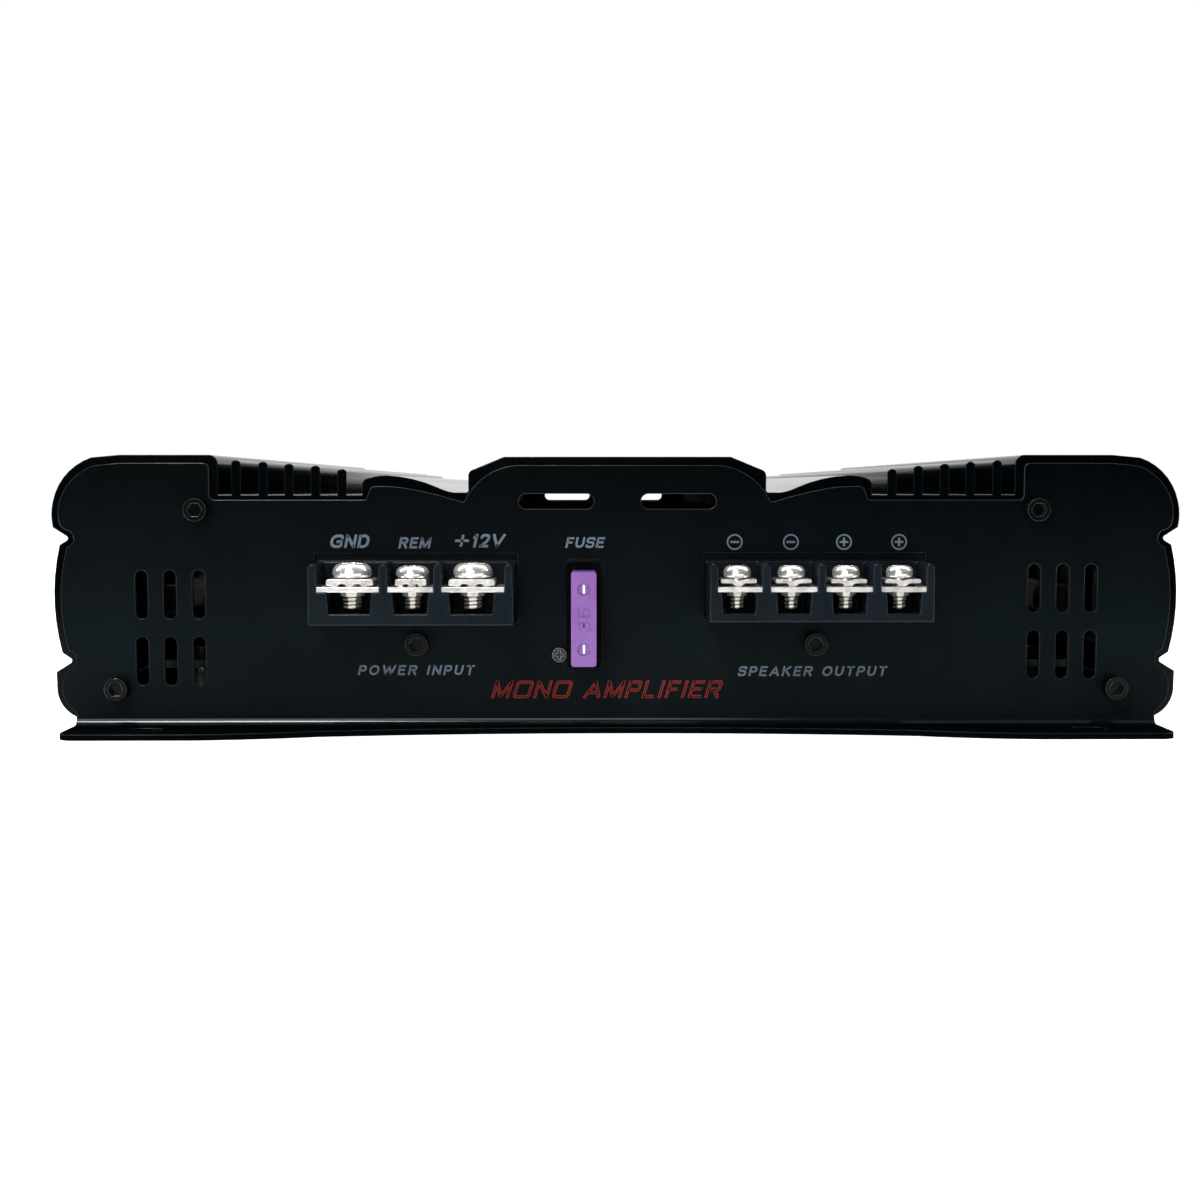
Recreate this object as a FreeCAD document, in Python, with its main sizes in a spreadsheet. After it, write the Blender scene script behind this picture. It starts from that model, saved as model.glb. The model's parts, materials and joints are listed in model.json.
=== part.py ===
import FreeCAD, Part
import Sketcher
import math
import os
import re

# Car audio amplifier: a finned heatsink extrusion closed by a base plate and by two bent
# end panels. Terminals and the fuse are at the front (-Y), signal jacks and controls at
# the rear (+Y). The origin is on the floor under the middle of the case, +Z up.

os.makedirs("parts", exist_ok=True)
doc = FreeCAD.newDocument("CarAmplifier")

DIMS = {
    # case
    "ext_len": 235.0,
    "sheet": 1.2,
    "bend_r": 1.4,
    "neck_half": 111.0,
    "shoulder_top": 56.5,
    "spine_top": 56.1,
    "valley_z": 48.3,
    "fin_half": 0.93,
    "ext_bottom": 2.7,
    "base_half": 110.4,
    "base_thick": 1.5,
    # mounting ears
    "slot_x": 95.2,
    "slot_out": 7.3,
    "slot_long": 7.0,
    "slot_wide": 4.5,
    # terminal blocks
    "block_proud": 12.0,
    "cell_base_z": 29.15,
    "plate_thick": 1.0,
    "screw_out": 6.6,
    "clamp_gap": 0.05,
    "fit_gap": 0.05,
    # fuse
    "fuse_x": -6.9,
    "holder_z": 23.7,
    "fuse_z": 23.4,
    "fuse_proud": 7.5,
    "fuse_wide": 5.1,
    "fuse_tall": 19.1,
    "fuse_deep": 12.4,
    # circuit board
    "board_half_x": 98.0,
    "board_half_y": 104.0,
    "board_z": 12.0,
    "board_thick": 1.6,
    # rear controls
    "knob_r": 3.5,
    "knob_proud": 3.2,
    "jack_r": 4.15,
    "jack_proud": 9.0,
}

sheet = doc.addObject("Spreadsheet::Sheet", "Dims")
for row, (alias, value) in enumerate(DIMS.items(), start=1):
    sheet.set("A%d" % row, alias)
    sheet.set("B%d" % row, str(value))
    sheet.setAlias("B%d" % row, alias)
doc.recompute()

d = DIMS
half_len = d["ext_len"] / 2
face_y = half_len + d["sheet"]
board_top = d["board_z"] + d["board_thick"]

nodes = []


def expr(text):
    """Turn the aliases in a formula into references to the sheet's cells."""
    return re.sub(r"[a-z][a-z_0-9]*", lambda hit: "Dims." + hit.group(0), text)


def bind(obj, prop, value):
    """Bind a property to a formula over the sheet, or set it to a plain number."""
    obj.setExpression(prop, expr(value) if isinstance(value, str) else repr(float(value)))


def keep(obj, label):
    """Mark an object as a sub-part: its label names its file."""
    obj.Label = label
    nodes.append(obj)
    return obj


def move(obj, x, y, z):
    for prop, value in zip("xyz", (x, y, z)):
        bind(obj, "Placement.Base." + prop, value)
    return obj


def box(size, low):
    """A box from its size and its low corner."""
    obj = doc.addObject("Part::Box", "Box")
    for prop, value in zip(("Length", "Width", "Height"), size):
        bind(obj, prop, value)
    return move(obj, *low)


def rounded_box(size, low, radius):
    """A box whose four edges along Y are rounded."""
    block = box(size, low)
    obj = doc.addObject("Part::Fillet", "Rounded")
    obj.Base = block
    doc.recompute()
    along = [i for i, side in enumerate(block.Shape.Edges, start=1)
             if abs(side.tangentAt(side.FirstParameter).y) > 0.9]
    obj.Edges = [(i, radius, radius) for i in along]
    return obj


TURNS = {"x": (FreeCAD.Vector(0, 1, 0), 90), "y": (FreeCAD.Vector(1, 0, 0), -90),
         "z": (FreeCAD.Vector(0, 0, 1), 0), "-y": (FreeCAD.Vector(1, 0, 0), 90)}


def rod(radius, length, start, axis="z"):
    """A cylinder that starts at a point and runs along an axis."""
    obj = doc.addObject("Part::Cylinder", "Rod")
    bind(obj, "Radius", radius)
    bind(obj, "Height", length)
    obj.Placement = FreeCAD.Placement(FreeCAD.Vector(), FreeCAD.Rotation(*TURNS[axis]))
    return move(obj, *start)


def fuse(items):
    if len(items) == 1:
        return items[0]
    obj = doc.addObject("Part::MultiFuse", "Union")
    obj.Shapes = items
    obj.Refine = True
    return obj


def cut(base, tools):
    obj = doc.addObject("Part::Cut", "Cut")
    obj.Base = base
    obj.Tool = fuse(tools)
    obj.Refine = True
    return obj


def group(items, label):
    """Several equal loose pieces kept as one node."""
    if len(items) == 1:
        return keep(items[0], label)
    obj = doc.addObject("Part::Compound", "Group")
    obj.Links = items
    return keep(obj, label)


def plane(body, role):
    return [f for f in body.Origin.OriginFeatures if f.Role == role][0]


def new_body(label):
    body = doc.addObject("PartDesign::Body", label)
    return keep(body, label)


def fill_sketch(sk, loops):
    """Draw closed loops. A loop is a list of points; a pair of points in it is an arc: a
    point on the way and its end. A circle is (centre, radius)."""
    for loop in loops:
        if isinstance(loop, tuple):
            (x, y), radius = loop
            sk.addGeometry(Part.Circle(FreeCAD.Vector(x, y, 0), FreeCAD.Vector(0, 0, 1), radius),
                           False)
            continue
        first = len(sk.Geometry)
        last = FreeCAD.Vector(*loop[0], 0)
        edges = []
        tips = []
        for item in loop[1:] + loop[:1]:
            if isinstance(item[0], tuple):
                way, end = (FreeCAD.Vector(*point, 0) for point in item)
                edges.append(Part.Arc(last, way, end))
                # A sketch keeps every arc counter-clockwise, so a clockwise one is reversed.
                clockwise = (way - last).cross(end - way).z < 0
                tips.append((2, 1) if clockwise else (1, 2))
            else:
                end = FreeCAD.Vector(*item, 0)
                if end.distanceToPoint(last) < 1e-6:
                    continue
                edges.append(Part.LineSegment(last, end))
                tips.append((1, 2))
            last = end
        sk.addGeometry(edges, False)
        joins = []
        for i, (start, stop) in enumerate(tips):
            after = (i + 1) % len(tips)
            joins.append(Sketcher.Constraint("Coincident", first + i, stop,
                                             first + after, tips[after][0]))
        sk.addConstraint(joins)


def draw(body, role, offset, loops):
    """A sketch on one of the body's own planes."""
    sk = body.newObject("Sketcher::SketchObject", "Sketch")
    sk.AttachmentSupport = [(plane(body, role), "")]
    sk.MapMode = "FlatFace"
    bind(sk, "AttachmentOffset.Base.z", offset)
    fill_sketch(sk, loops)
    return sk


def prism(outline, length, y):
    """A prism of an (x, z) outline that runs along +Y from y."""
    sk = doc.addObject("Sketcher::SketchObject", "Outline")
    sk.Placement = FreeCAD.Placement(FreeCAD.Vector(), FreeCAD.Rotation(*TURNS["-y"]))
    bind(sk, "Placement.Base.y", y)
    fill_sketch(sk, [outline])
    obj = doc.addObject("Part::Extrusion", "Prism")
    obj.Base = sk
    obj.DirMode = "Custom"
    obj.Dir = FreeCAD.Vector(0, 1, 0)
    obj.Solid = True
    bind(obj, "LengthFwd", length)
    return obj


def pad(body, sk, length, reverse=False):
    feature = body.newObject("PartDesign::Pad", "Pad")
    feature.Profile = sk
    bind(feature, "Length", length)
    feature.Reversed = reverse
    return feature


def pocket(body, sk, length, reverse=False):
    feature = body.newObject("PartDesign::Pocket", "Pocket")
    feature.Profile = sk
    bind(feature, "Length", length)
    feature.Reversed = reverse
    return feature


def rect(x0, y0, x1, y1):
    return [(x0, y0), (x1, y0), (x1, y1), (x0, y1)]


def slot_x(cx, cy, length, width):
    """A slot that runs along the sketch's first axis, with round ends."""
    r = width / 2
    a = length / 2 - r
    return [(cx - a, cy - r), (cx + a, cy - r), ((cx + a + r, cy), (cx + a, cy + r)),
            (cx - a, cy + r), ((cx - a - r, cy), (cx - a, cy - r))]


def slot_y(cx, cy, length, width):
    r = width / 2
    a = length / 2 - r
    return [(cx + r, cy - a), (cx + r, cy + a), ((cx, cy + a + r), (cx - r, cy + a)),
            (cx - r, cy - a), ((cx, cy - a - r), (cx + r, cy - a))]


def rounded_rect(cx, cy, width, height, r):
    """A rectangle about a centre, with an arc at each corner."""
    w, h = width / 2, height / 2
    c = r * (1 - math.sqrt(0.5))
    return [(cx - w + r, cy - h), (cx + w - r, cy - h),
            ((cx + w - c, cy - h + c), (cx + w, cy - h + r)), (cx + w, cy + h - r),
            ((cx + w - c, cy + h - c), (cx + w - r, cy + h)), (cx - w + r, cy + h),
            ((cx - w + c, cy + h - c), (cx - w, cy + h - r)), (cx - w, cy - h + r),
            ((cx - w + c, cy - h + c), (cx - w + r, cy - h))]


def both_sides(half):
    """Close a half outline that starts and ends on the middle line with its mirror."""
    def flip(point):
        return (-point[0], point[1])

    ends = [item[1] if isinstance(item[0], tuple) else item for item in half]
    back = []
    for i in range(len(half) - 1, 0, -1):
        item = half[i]
        end = flip(ends[i - 1])
        back.append((flip(item[0]), end) if isinstance(item[0], tuple) else end)
    return half + back


# ---------------------------------------------------------------- heatsink
FINS = [(56.3, 53.6), (61.7, 54.3), (67.1, 54.7), (72.4, 55.1), (77.9, 55.4)]
valley = d["valley_z"]
fin = d["fin_half"]
top = d["shoulder_top"]
low = d["ext_bottom"]

skin = [
    (0, d["spine_top"]), (23.2, d["spine_top"]), (29.5, 53.5),
    ((30.3, 52.9), (30.5, 52.1)), (30.5, 49.3), ((30.7, 48.9), (31.1, 48.8)),
    (33.5, 48.8), ((35.2, 49.2), (37.0, 49.95)), ((42.0, 51.6), (47.1, 52.3)),
    ((49.2, 52.2), (50.9, 51.8)), ((51.8, 51.3), (52.2, 50.5)), (52.2, valley),
]
for fin_x, fin_top in FINS:
    skin += [(fin_x - fin, valley), (fin_x - fin, fin_top - 0.5),
             ((fin_x, fin_top), (fin_x + fin, fin_top - 0.5)), (fin_x + fin, valley)]
skin += [
    (81.6, valley), (81.6, top - 1.9), ((82.15, top - 0.55), (83.5, top)), (101.5, top),
    (107.3, top - 0.55), ((112.7, 52.3), (115.3, 47.0)), ((115.65, 44.4), (115.4, 41.7)),
    (112.7, 39.95), ((112.4, 39.4), (112.7, 38.95)), (114.1, 38.1),
    ((115.4, 29.0), (114.0, 15.9)), (112.4, 14.85), ((112.1, 14.3), (112.4, 13.8)),
    (115.3, 12.0), (115.25, 9.0), ((114.2, 5.1), (111.4, low)), (0, low),
]

# The electronics bay opens downwards; posts in its corners hold the end panels' screws.
bay = [
    (0, 43.6), (81.8, 43.6), ((86.0, 41.6), (89.5, 45.3)), (88.4, 47.8), (84.8, 48.6),
    (84.8, 53.4), (104.6, 53.4), ((108.0, 51.4), (109.2, 47.6)), (109.2, 8.6), (105.9, 8.6),
    ((102.2, 12.3), (98.5, 8.6)), (98.5, low - 1), (0, low - 1),
]
tunnel = [(0, 53.3), (22.0, 53.3), (27.4, 51.1), (27.4, 45.3), (0, 45.3)]

SCREWS_TOP = [(-85.6, 45.3), (85.6, 45.3)]
SCREWS_LOW = [(-102.2, 8.8), (102.2, 8.8)]
PANEL_SCREWS = SCREWS_TOP + SCREWS_LOW

heatsink = new_body("heatsink")
pad(heatsink, draw(heatsink, "XZ_Plane", "-ext_len/2", [both_sides(skin)]), "ext_len")
pocket(heatsink, draw(heatsink, "XZ_Plane", "-ext_len/2", [both_sides(bay)]),
       "ext_len", True)
pocket(heatsink, draw(heatsink, "XZ_Plane", "-ext_len/2", [both_sides(tunnel)]),
       "ext_len", True)
pocket(heatsink, draw(heatsink, "XZ_Plane", "-ext_len/2",
                      [(place, 1.25) for place in PANEL_SCREWS]), "ext_len", True)
BASE_SCREWS = [(sx * 107.9, y) for sx in (-1, 1) for y in (-104.0, -35.0, 35.0, 104.0)]
pocket(heatsink, draw(heatsink, "XY_Plane", "ext_bottom",
                      [(place, 1.1) for place in BASE_SCREWS]), 4.9, True)

# ---------------------------------------------------------------- base plate
plate = box(("base_half*2", "ext_len", "base_thick"),
            ("-base_half", "-ext_len/2", "ext_bottom - base_thick"))
STANDOFFS = [(sx * 90.0, y) for sx in (-1, 1) for y in (-96.0, 0.0, 96.0)]
holes = [rod(1.5, 4, (x, y, 0)) for x, y in BASE_SCREWS]
keep(cut(plate, holes), "base_plate")

screws = []
for x, y in BASE_SCREWS:
    screws.append(fuse([rod(2.4, 0.9, (x, y, "ext_bottom - base_thick - 0.9")),
                        rod(1.1, 5.8, (x, y, "ext_bottom - base_thick"))]))
group(screws, "base_plate_screws")

# ---------------------------------------------------------------- end panels
edge = [
    (0, 54.35), (20.9, 54.35), ((27.2, 51.95), (31.3, 46.9)), (32.0, 46.95),
    ((36.8, 48.35), (42.5, 49.6)), ((45.6, 50.0), (49.7, 50.1)), (50.4, 49.6),
    (51.1, 47.8), ((51.3, 47.45), (51.7, 47.3)), (82.2, 47.3), ((82.9, 47.6), (83.2, 48.3)),
    (83.2, 53.6), ((83.55, 54.45), (84.4, 54.8)), (101.3, 54.8),
    (106.5, 54.3), ((111.4, 51.0), (113.85, 46.3)), ((114.0, 44.4), (113.7, 42.5)),
    ((113.3, 41.8), (112.5, 41.2)), ((110.9, 39.5), (112.3, 37.7)),
    ((113.7, 29.0), (112.3, 16.5)), ((110.8, 14.4), (112.4, 12.5)),
    ((113.8, 8.9), (112.7, 5.3)), ((111.5, 4.1), (111.0, 3.4)), (111.0, 2.6), (0, 2.6),
]
# The foot's front edge: an ear at each side with the edge drawn back in the middle.
WALL_Y = -face_y
foot = [
    (0, WALL_Y - 5.0), ((31.0, WALL_Y - 6.1), (60.0, WALL_Y - 9.4)),
    ((72.0, WALL_Y - 12.4), (84.5, WALL_Y - 14.0)),
    (107.9, WALL_Y - 14.0), ((110.1, WALL_Y - 13.1), (111.0, WALL_Y - 10.9)),
    (111.0, WALL_Y - 1.4), (0, WALL_Y - 1.4),
]
VENT_X = (85.6, 91.5, 97.3)
VENT_ROWS = {-1: (14.3, 28.0), 1: (15.5, 29.2)}


def vents():
    return [slot_y(side * x, z, 10.0, 2.6)
            for side, rows in VENT_ROWS.items() for x in VENT_X for z in rows]


def end_panel(label, windows):
    """A bent sheet: wall, bend and foot. It is drawn at the front end of the case."""
    body = new_body(label)
    pad(body, draw(body, "XY_Plane", 0, [both_sides(foot)]), "sheet")
    ends = draw(body, "XY_Plane", 0,
                [slot_x(side * d["slot_x"], -face_y - d["slot_out"], d["slot_long"],
                        d["slot_wide"]) for side in (-1, 1)])
    pocket(body, ends, "sheet", True)
    # bend, drawn across the case
    r_in = d["bend_r"]
    r_out = r_in + d["sheet"]
    yc = -face_y - r_in
    c45 = math.sqrt(0.5)
    bend = [(yc, 0), ((yc + r_out * c45, r_out * (1 - c45)), (yc + r_out, r_out)),
            (yc + r_in, r_out), ((yc + r_in * c45, r_out - r_in * c45), (yc, d["sheet"]))]
    pad(body, draw(body, "YZ_Plane", "-neck_half", [bend]), "neck_half*2")
    pad(body, draw(body, "XZ_Plane", "ext_len/2", [both_sides(edge)]), "sheet")
    pocket(body, draw(body, "XZ_Plane", "ext_len/2", windows), "sheet", True)
    return body


POWER = {"low": -61.4, "high": -20.9, "bottom": 22.6, "top": 34.7,
         "barriers": (-60.6, -46.6, -35.8, -21.8), "screws": (-53.3, -41.2, -29.1),
         "fixing": (-41.0, 17.9)}
SPEAKER = {"low": 18.1, "high": 62.6, "bottom": 23.2, "top": 34.8,
           "barriers": (18.9, 29.3, 40.3, 51.3, 61.8), "screws": (23.9, 34.8, 45.8, 56.6),
           "fixing": (40.5, 17.9)}
FUSE_SCREW = (-11.9, 15.6)
BLOCK_SCREWS = [POWER["fixing"], SPEAKER["fixing"]]

front_windows = vents() + [slot_x(side * 12.5, 47.0, 15.4, 3.1) for side in (-1, 1)]
front_windows += [rect(b["low"] - 0.5, b["bottom"] - 0.4, b["high"] + 0.5, b["top"] + 1.7)
                  for b in (POWER, SPEAKER)]
front_windows += [rounded_rect(d["fuse_x"], d["holder_z"], 8.0, 22.9, 1.4)]
front_windows += [(place, 1.6) for place in PANEL_SCREWS + BLOCK_SCREWS]
front_windows += [(FUSE_SCREW, 0.75)]
end_panel("front_panel", front_windows)

# ---------------------------------------------------------------- rear panel
JACKS = [(x, z) for x in (47.0, 65.0) for z in (20.0, 34.0)]
KNOBS = {"level_knob": 22.0, "low_pass_knob": 5.0, "subsonic_knob": -12.0,
         "bass_boost_knob": -29.0}
KNOB_Z = 25.0
SWITCH = (-46.0, 25.0)
LEDS = [(-49.0, 35.0), (-43.0, 35.0)]
PORT = {"x": -66.0, "low": 14.0, "half": 6.2, "tall": 12.5}
RCA_SCREW = (56.0, 27.0)

# The rear panel is drawn like the front one and turned half round, so its x changes sign.
rear_windows = vents() + [slot_x(side * 12.5, 47.0, 15.4, 3.1) for side in (-1, 1)]
rear_windows += [(place, 1.6) for place in PANEL_SCREWS]
rear_windows += [((-x, z), 4.4) for x, z in JACKS]
rear_windows += [((-x, KNOB_Z), d["knob_r"] + 0.4) for x in KNOBS.values()]
rear_windows += [((-x, z), 1.6) for x, z in LEDS]
rear_windows += [((-RCA_SCREW[0], RCA_SCREW[1]), 1.3)]
rear_windows += [rect(-SWITCH[0] - 3.1, SWITCH[1] - 1.5, -SWITCH[0] + 3.1, SWITCH[1] + 1.5)]
rear_windows += [rect(-PORT["x"] - PORT["half"] - 0.2, PORT["low"] - 0.2,
                      -PORT["x"] + PORT["half"] + 0.2, PORT["low"] + PORT["tall"] + 0.2)]
rear = end_panel("rear_panel", rear_windows)
half_turn = FreeCAD.Rotation(FreeCAD.Vector(0, 0, 1), 180)
rear.Placement = FreeCAD.Placement(FreeCAD.Vector(), half_turn)


def socket_screw(x, z, out, length=12.0):
    """A hex socket cap screw through an end panel; out is -1 at the front, 1 at the rear."""
    axis = "y" if out > 0 else "-y"
    head = rod(2.3, 2.9, (x, out * face_y, z), axis)
    shank = rod(1.2, length, (x, out * (face_y - length), z), axis)
    key = doc.addObject("Part::Prism", "Key")
    key.Polygon = 6
    key.Circumradius = 1.55
    key.Height = 3.0
    key.Placement = FreeCAD.Placement(FreeCAD.Vector(x, out * (face_y + 1.3), z),
                                      FreeCAD.Rotation(*TURNS[axis]))
    return cut(fuse([head, shank]), [key])


group([socket_screw(x, z, out) for out in (-1, 1) for x, z in PANEL_SCREWS], "panel_screws")
group([socket_screw(x, z, -1, 8.0) for x, z in BLOCK_SCREWS], "terminal_block_screws")

# ---------------------------------------------------------------- terminal blocks
POCKET_FLOOR = 24.8
cell_z = d["cell_base_z"]
front_y = "-ext_len/2 - sheet - block_proud"


def terminal_block(spec, label, windows, plate_halves):
    """A barrier strip: a ledge with a pocket under each plate, walls between the cells."""
    span = spec["high"] - spec["low"]
    body = [
        box((span, "block_proud + sheet", cell_z - spec["bottom"]),
            (spec["low"], front_y, spec["bottom"])),
        box((span, 2.0, spec["top"] - spec["bottom"]),
            (spec["low"], "-ext_len/2 - sheet - 0.8", spec["bottom"])),
        box((span + 3.6, 8.0, 25.4), (spec["low"] - 1.8, "-ext_len/2", 13.8)),
    ]
    for x in spec["barriers"]:
        body.append(box((1.6, "block_proud + sheet", spec["top"] - 0.8 - cell_z),
                        (x - 0.8, front_y, cell_z)))
        body.append(rod(0.8, "block_proud + sheet", (x, front_y, spec["top"] - 0.8), "y"))
    tools = []
    for x, half, (upper, lower) in zip(spec["screws"], plate_halves, windows):
        tools.append(box((half * 2, "block_proud - 1.1", "plate_thick"),
                         (x - half, front_y + " + 0.2", cell_z)))
        outline = [(x - lower, POCKET_FLOOR), (x + lower, POCKET_FLOOR), (x + upper, cell_z),
                   (x - upper, cell_z)]
        tools.append(prism(outline, 9.6, front_y))
        tools.append(box((4.1, 12.0, 1.1), (x - 2.05, "-ext_len/2 - 2.5", cell_z - 0.05)))
    fix_x, fix_z = spec["fixing"]
    tools.append(rod(1.25, 8.0, (fix_x, "-ext_len/2", fix_z), "y"))
    return keep(cut(fuse(body), tools), label)


POWER_WINDOWS = [(4.45, 4.1), (3.65, 3.25), (4.5, 4.15)]
# Head radius, head height, shank radius and half width of the plate, cell by cell.
POWER_SCREWS = [(3.9, 3.0, 1.9, 6.45), (3.35, 2.4, 1.6, 4.5), (3.95, 3.0, 1.9, 6.5)]
SPEAKER_SCREWS = [(2.75, 2.5, 1.4, 4.6)] * 4
terminal_block(POWER, "power_terminal_housing", POWER_WINDOWS, [s[3] for s in POWER_SCREWS])
terminal_block(SPEAKER, "speaker_terminal_housing", [(3.5, 3.2)] * 4,
               [s[3] for s in SPEAKER_SCREWS])


def terminal_plate(x, half, shank_r):
    """A contact plate with a threaded collar and a tail that goes back to the board."""
    y = -face_y - d["screw_out"]
    solid = fuse([
        box((half * 2, "block_proud - 1.1", "plate_thick"),
            (x - half, front_y + " + 0.2", cell_z)),
        box((4.0, 13.0, "plate_thick"), (x - 2.0, "-ext_len/2 - sheet - 1.2", cell_z)),
        box((4.0, 1.0, cell_z - board_top + 0.4), (x - 2.0, "-ext_len/2 + 9.6", board_top)),
        rod(shank_r + 0.6, 1.0, (x, y, cell_z - 1.0)),
    ])
    return cut(solid, [rod(shank_r + d["fit_gap"], 4.0, (x, y, cell_z - 2.0))])


group([terminal_plate(x, s[3], s[2]) for x, s in zip(POWER["screws"], POWER_SCREWS)],
      "power_terminal_plates")
group([terminal_plate(x, s[3], s[2]) for x, s in zip(SPEAKER["screws"], SPEAKER_SCREWS)],
      "speaker_terminal_plates")

# Wire clamps, as (x, z) outlines over the top of the contact plate.
gap = d["clamp_gap"]
ARCHED = [(-1.0, 1.2), (-0.93, 1.5), (0.93, 1.5), (1.0, 1.2), (1.0, 0.4), (0.64, gap),
          (0.52, gap), (0.44, 0.6), (0.2, 0.6), (0.12, gap), (-0.12, gap), (-0.2, 0.6),
          (-0.44, 0.6), (-0.52, gap), (-0.64, gap), (-1.0, 0.4)]
RIBBED = [(-1.0, 1.45), (-0.4, 1.45), (0.0, 1.1), (0.4, 1.45), (1.0, 1.45), (1.0, 0.75),
          (0.34, 0.7), (0.12, gap), (-0.12, gap), (-0.34, 0.7), (-1.0, 0.75)]


def wire_clamp(label, x, half, outline, shank_r):
    y = -face_y - d["screw_out"]
    z = cell_z + d["plate_thick"]
    bar = prism([(x + half * u, z + v) for u, v in reversed(outline)], 8.2, y - 4.3)
    return keep(cut(bar, [rod(shank_r + d["fit_gap"], 3.0, (x, y, z - 0.5))]), label)


def terminal_screw(label, x, head_r, head_h, shank_r):
    """A pan head screw, turned from a profile, with a cross recess."""
    body = new_body(label)
    under = 1.5 + 2 * gap
    end = -d["plate_thick"] - 4.0
    profile = [(0, end), (shank_r - 0.35, end), (shank_r, end + 0.4), (shank_r, under),
               (head_r * 0.74, under), ((head_r * 0.95, under + head_h * 0.12),
                                        (head_r, under + head_h * 0.42)),
               ((head_r * 0.87, under + head_h * 0.80), (head_r * 0.5, under + head_h * 0.97)),
               (0, under + head_h)]
    sk = draw(body, "XZ_Plane", 0, [profile])
    turned = body.newObject("PartDesign::Revolution", "Turned")
    turned.Profile = sk
    turned.ReferenceAxis = (sk, ["V_Axis"])
    turned.Angle = 360
    long, wide = head_r * 0.55, head_r * 0.13
    cross = [(long, -wide), (long, wide), (wide, wide), (wide, long), (-wide, long),
             (-wide, wide), (-long, wide), (-long, -wide), (-wide, -wide), (-wide, -long),
             (wide, -long), (wide, -wide)]
    pocket(body, draw(body, "XY_Plane", under + head_h, [cross]), head_h * 0.62)
    move(body, x, "-ext_len/2 - sheet - screw_out", "cell_base_z + plate_thick")


for number, (x, screw) in enumerate(zip(POWER["screws"], POWER_SCREWS), start=1):
    wire_clamp("power_clamp_%d" % number, x, (4.65, 3.1, 4.6)[number - 1], ARCHED, screw[2])
    terminal_screw("power_screw_%d" % number, x, screw[0], screw[1], screw[2])
for number, (x, screw) in enumerate(zip(SPEAKER["screws"], SPEAKER_SCREWS), start=1):
    wire_clamp("speaker_clamp_%d" % number, x, 3.55, RIBBED, screw[2])
    terminal_screw("speaker_screw_%d" % number, x, screw[0], screw[1], screw[2])

# ---------------------------------------------------------------- fuse and its holder
fuse_front = -face_y - d["fuse_proud"]
half_w, half_t = d["fuse_wide"] / 2, d["fuse_tall"] / 2
fx, fz, hz = d["fuse_x"], d["fuse_z"], d["holder_z"]
BLADE_Z = (fz - 6.05, fz + 6.05)

holder = fuse([
    rounded_box((7.8, 8.0, 22.7), (fx - 3.9, -face_y, hz - 11.35), 1.3),
    box((9.4, 7.3, 25.0), (fx - 4.7, -half_len, hz - 12.5)),
    box((9.4, 15.0, hz + 12.5 - board_top - 0.1), (fx - 4.7, -half_len, board_top + 0.1)),
    box((4.6, 4.0, 6.4), (FUSE_SCREW[0] - 2.6, -half_len, FUSE_SCREW[1] - 3.2)),
])
mouth = box((6.8, 2.0, 21.5), (fx - 3.4, -face_y, hz - 10.75))
socket = box(("fuse_wide + 0.3", 5.2, "fuse_tall + 0.3"),
             (fx - half_w - 0.15, -face_y, fz - half_t - 0.15))
clip_rooms = [box((3.2, 10.4, 6.4), (fx - 1.6, -face_y + 5.2, z - 3.2)) for z in BLADE_Z]
holder_hole = rod(0.75, 6.0, (FUSE_SCREW[0], -half_len, FUSE_SCREW[1]), "y")
keep(cut(holder, [mouth, socket, holder_hole] + clip_rooms), "fuse_holder")

clips = []
for z in BLADE_Z:
    outer = box((3.0, 9.6, 6.0), (fx - 1.5, -face_y + 5.6, z - 3.0))
    inner = box((0.9, 8.4, 6.4), (fx - 0.45, -face_y + 5.6, z - 3.2))
    clips.append(cut(outer, [inner]))
group(clips, "fuse_contacts")

blades = [box((0.7, 10.6, 4.8), (fx - 0.35, fuse_front + 10.2, z - 2.4)) for z in BLADE_Z]
stems = [box((0.5, 9.6, 1.8), (fx - 0.25, fuse_front + 0.7, z - 0.9)) for z in BLADE_Z]
link = box((0.7, 1.2, BLADE_Z[1] - BLADE_Z[0]), (fx - 0.35, fuse_front + 6.0, BLADE_Z[0]))
keep(fuse(blades + stems + [link]), "fuse_element")

shell = rounded_box(("fuse_wide", "fuse_deep", "fuse_tall"),
                    (fx - half_w, fuse_front, fz - half_t), 0.6)
dimples = [rod(1.3, 0.5, (fx, fuse_front, z), "y") for z in BLADE_Z]
slits = [box((0.5, 10.4, 1.8), (fx - 0.25, fuse_front, z - 0.9)) for z in BLADE_Z]
slits += [box((0.7, 3.0, 4.8), (fx - 0.35, fuse_front + 10.2, z - 2.4)) for z in BLADE_Z]
slits += [box((0.7, 1.2, BLADE_Z[1] - BLADE_Z[0]), (fx - 0.35, fuse_front + 6.0, BLADE_Z[0]))]
keep(cut(shell, dimples + slits), "fuse_body")

tab_screw = fuse([rod(1.45, 1.0, (FUSE_SCREW[0], -face_y, FUSE_SCREW[1]), "-y"),
                  rod(0.7, 5.0, (FUSE_SCREW[0], -face_y, FUSE_SCREW[1]), "y")])
cross = [box((1.8, 0.7, 0.5), (FUSE_SCREW[0] - 0.9, -face_y - 1.0, FUSE_SCREW[1] - 0.25)),
         box((0.5, 0.7, 1.8), (FUSE_SCREW[0] - 0.25, -face_y - 1.0, FUSE_SCREW[1] - 0.9))]
small_screws = [cut(tab_screw, cross)]

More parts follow.
